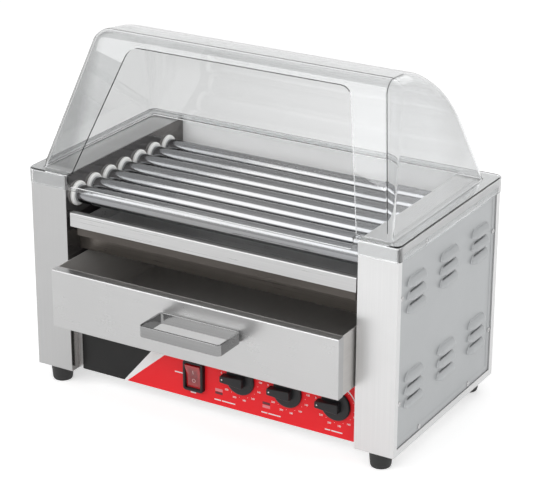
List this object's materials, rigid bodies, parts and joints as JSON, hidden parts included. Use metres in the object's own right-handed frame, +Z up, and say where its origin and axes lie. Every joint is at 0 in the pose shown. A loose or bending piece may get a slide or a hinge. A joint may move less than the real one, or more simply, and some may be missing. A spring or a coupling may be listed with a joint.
{
  "type": "hot dog roller grill",
  "caption": "Countertop roller grill: heated rollers between two sheet-metal towers, a bun warming drawer, a drip tray, dial controls and a clear lift-off cover.",
  "frame": {"origin": "middle of the outline's underside, on the surface the feet stand on, drawer a little open", "axes": "+X to the right seen from the front, +Y to the back, +Z up; the front with the drawer and knobs faces -Y"},
  "size_m": [0.5898, 0.409, 0.5134],
  "materials": {
    "stainless_shell": "brushed stainless sheet, satin",
    "stainless_panel": "brushed stainless sheet, slightly darker",
    "stainless_drawer": "brushed stainless sheet, satin to bright",
    "screw_steel": "plain steel, bright",
    "polished_roller": "polished tube",
    "drive_steel": "oiled plain steel",
    "heater_sheath": "heat-darkened sheath",
    "white_seal": "white fluoropolymer, satin",
    "motor_paint": "dark paint",
    "panel_print": "printed red and black film on steel",
    "knob_black": "black phenolic, satin",
    "shaft_brass": "turned brass",
    "thermostat_case": "plated sheet case",
    "rocker_red": "red translucent plastic",
    "terminal_plastic": "moulded terminal body",
    "foot_rubber": "black rubber",
    "clear_plastic": "clear formed acrylic"
  },
  "bodies": {
    "cabinet": {"tower_shell_right": "stainless_shell", "tower_shell_left": "stainless_shell", "roller_wall_left": "stainless_shell", "roller_wall_right": "stainless_shell", "side_panel_right": "stainless_panel", "side_panel_left": "stainless_panel", "side_panel_screws": "screw_steel", "base_pan": "stainless_shell", "rear_panel": "stainless_shell", "rear_panel_screws": "screw_steel", "bay_floor": "stainless_shell", "warmer_plate": "stainless_shell", "feet": "foot_rubber", "roller_seals_right": "white_seal", "roller_seals_left": "white_seal", "heater_rods": "heater_sheath", "heater_brackets": "drive_steel", "drive_chain": "drive_steel", "gear_motor": "motor_paint", "motor_bracket": "drive_steel", "idler_stud": "drive_steel", "drawer_runners": "stainless_drawer", "warmer_element": "heater_sheath", "warmer_element_clips": "drive_steel", "control_panel": "panel_print", "thermostats": "thermostat_case", "switch_housing": "knob_black", "cable_gland": "knob_black", "terminal_block": "terminal_plastic"},
    "roller_set_1": {"roller_1": "polished_roller", "sprocket_1": "drive_steel"},
    "roller_set_2": {"roller_2": "polished_roller", "sprocket_2": "drive_steel"},
    "roller_set_3": {"roller_3": "polished_roller", "sprocket_3": "drive_steel"},
    "roller_set_4": {"roller_4": "polished_roller", "sprocket_4": "drive_steel"},
    "roller_set_5": {"roller_5": "polished_roller", "sprocket_5": "drive_steel"},
    "roller_set_6": {"roller_6": "polished_roller", "sprocket_6": "drive_steel"},
    "roller_set_7": {"roller_7": "polished_roller", "sprocket_7": "drive_steel"},
    "motor_drive": {"motor_sprocket": "drive_steel"},
    "idler": {"idler_sprocket": "drive_steel"},
    "drawer": {"drawer_tray": "stainless_drawer", "drawer_front": "stainless_drawer", "drawer_handle": "stainless_drawer", "drawer_handle_screws": "screw_steel"},
    "tray": {"drip_tray": "stainless_drawer"},
    "dial_1": {"knob_1": "knob_black", "knob_shaft_1": "shaft_brass"},
    "dial_2": {"knob_2": "knob_black", "knob_shaft_2": "shaft_brass"},
    "dial_3": {"knob_3": "knob_black", "knob_shaft_3": "shaft_brass"},
    "rocker": {"switch_rocker": "rocker_red"},
    "cover": {"clear_cover": "clear_plastic"}
  },
  "joints": [
    {"name": "roller_1_spin", "type": "hinge", "parent": "cabinet", "child": "roller_set_1", "pos_m": [0, -0.0773, 0.291], "axis": [1, 0, 0], "continuous": true, "deforming": ["drive_chain"]},
    {"name": "roller_2_spin", "type": "hinge", "parent": "cabinet", "child": "roller_set_2", "pos_m": [0, -0.0392, 0.291], "axis": [1, 0, 0], "continuous": true},
    {"name": "roller_3_spin", "type": "hinge", "parent": "cabinet", "child": "roller_set_3", "pos_m": [0, -0.0011, 0.291], "axis": [1, 0, 0], "continuous": true},
    {"name": "roller_4_spin", "type": "hinge", "parent": "cabinet", "child": "roller_set_4", "pos_m": [0, 0.037, 0.291], "axis": [1, 0, 0], "continuous": true},
    {"name": "roller_5_spin", "type": "hinge", "parent": "cabinet", "child": "roller_set_5", "pos_m": [0, 0.0751, 0.291], "axis": [1, 0, 0], "continuous": true},
    {"name": "roller_6_spin", "type": "hinge", "parent": "cabinet", "child": "roller_set_6", "pos_m": [0, 0.1132, 0.291], "axis": [1, 0, 0], "continuous": true},
    {"name": "roller_7_spin", "type": "hinge", "parent": "cabinet", "child": "roller_set_7", "pos_m": [0, 0.1513, 0.291], "axis": [1, 0, 0], "continuous": true},
    {"name": "motor_drive_spin", "type": "hinge", "parent": "cabinet", "child": "motor_drive", "pos_m": [0.2494, 0.11955, 0.23601], "axis": [1, 0, 0], "continuous": true},
    {"name": "idler_spin", "type": "hinge", "parent": "cabinet", "child": "idler", "pos_m": [0.2494, -0.04555, 0.23601], "axis": [1, 0, 0], "continuous": true},
    {"name": "drawer_slide", "type": "slide", "parent": "cabinet", "child": "drawer", "axis": [0, -1, 0], "range_m": [-0.0435, 0.16]},
    {"name": "drip_tray_slide", "type": "slide", "parent": "cabinet", "child": "tray", "axis": [0, -1, 0], "range_m": [0, 0.25]},
    {"name": "knob_1_turn", "type": "hinge", "parent": "cabinet", "child": "dial_1", "pos_m": [0.0435, -0.0885, 0.073], "axis": [0, 1, 0], "range_deg": [0, 300]},
    {"name": "knob_2_turn", "type": "hinge", "parent": "cabinet", "child": "dial_2", "pos_m": [0.1185, -0.0885, 0.073], "axis": [0, 1, 0], "range_deg": [0, 300]},
    {"name": "knob_3_turn", "type": "hinge", "parent": "cabinet", "child": "dial_3", "pos_m": [0.1935, -0.0885, 0.073], "axis": [0, 1, 0], "range_deg": [0, 300]},
    {"name": "switch_rock", "type": "hinge", "parent": "cabinet", "child": "rocker", "pos_m": [-0.0315, -0.0885, 0.061], "axis": [1, 0, 0], "range_deg": [-18, 0]},
    {"name": "cover_lift", "type": "slide", "parent": "cabinet", "child": "cover", "axis": [0, 0, 1], "range_m": [0, 0.25]}
  ],
  "couplings": [
    {"joint": "roller_2_spin", "follows": "roller_1_spin", "ratio": 1},
    {"joint": "roller_3_spin", "follows": "roller_1_spin", "ratio": 1},
    {"joint": "roller_4_spin", "follows": "roller_1_spin", "ratio": 1},
    {"joint": "roller_5_spin", "follows": "roller_1_spin", "ratio": 1},
    {"joint": "roller_6_spin", "follows": "roller_1_spin", "ratio": 1},
    {"joint": "roller_7_spin", "follows": "roller_1_spin", "ratio": 1},
    {"joint": "motor_drive_spin", "follows": "roller_1_spin", "ratio": 1},
    {"joint": "idler_spin", "follows": "roller_1_spin", "ratio": 1}
  ]
}
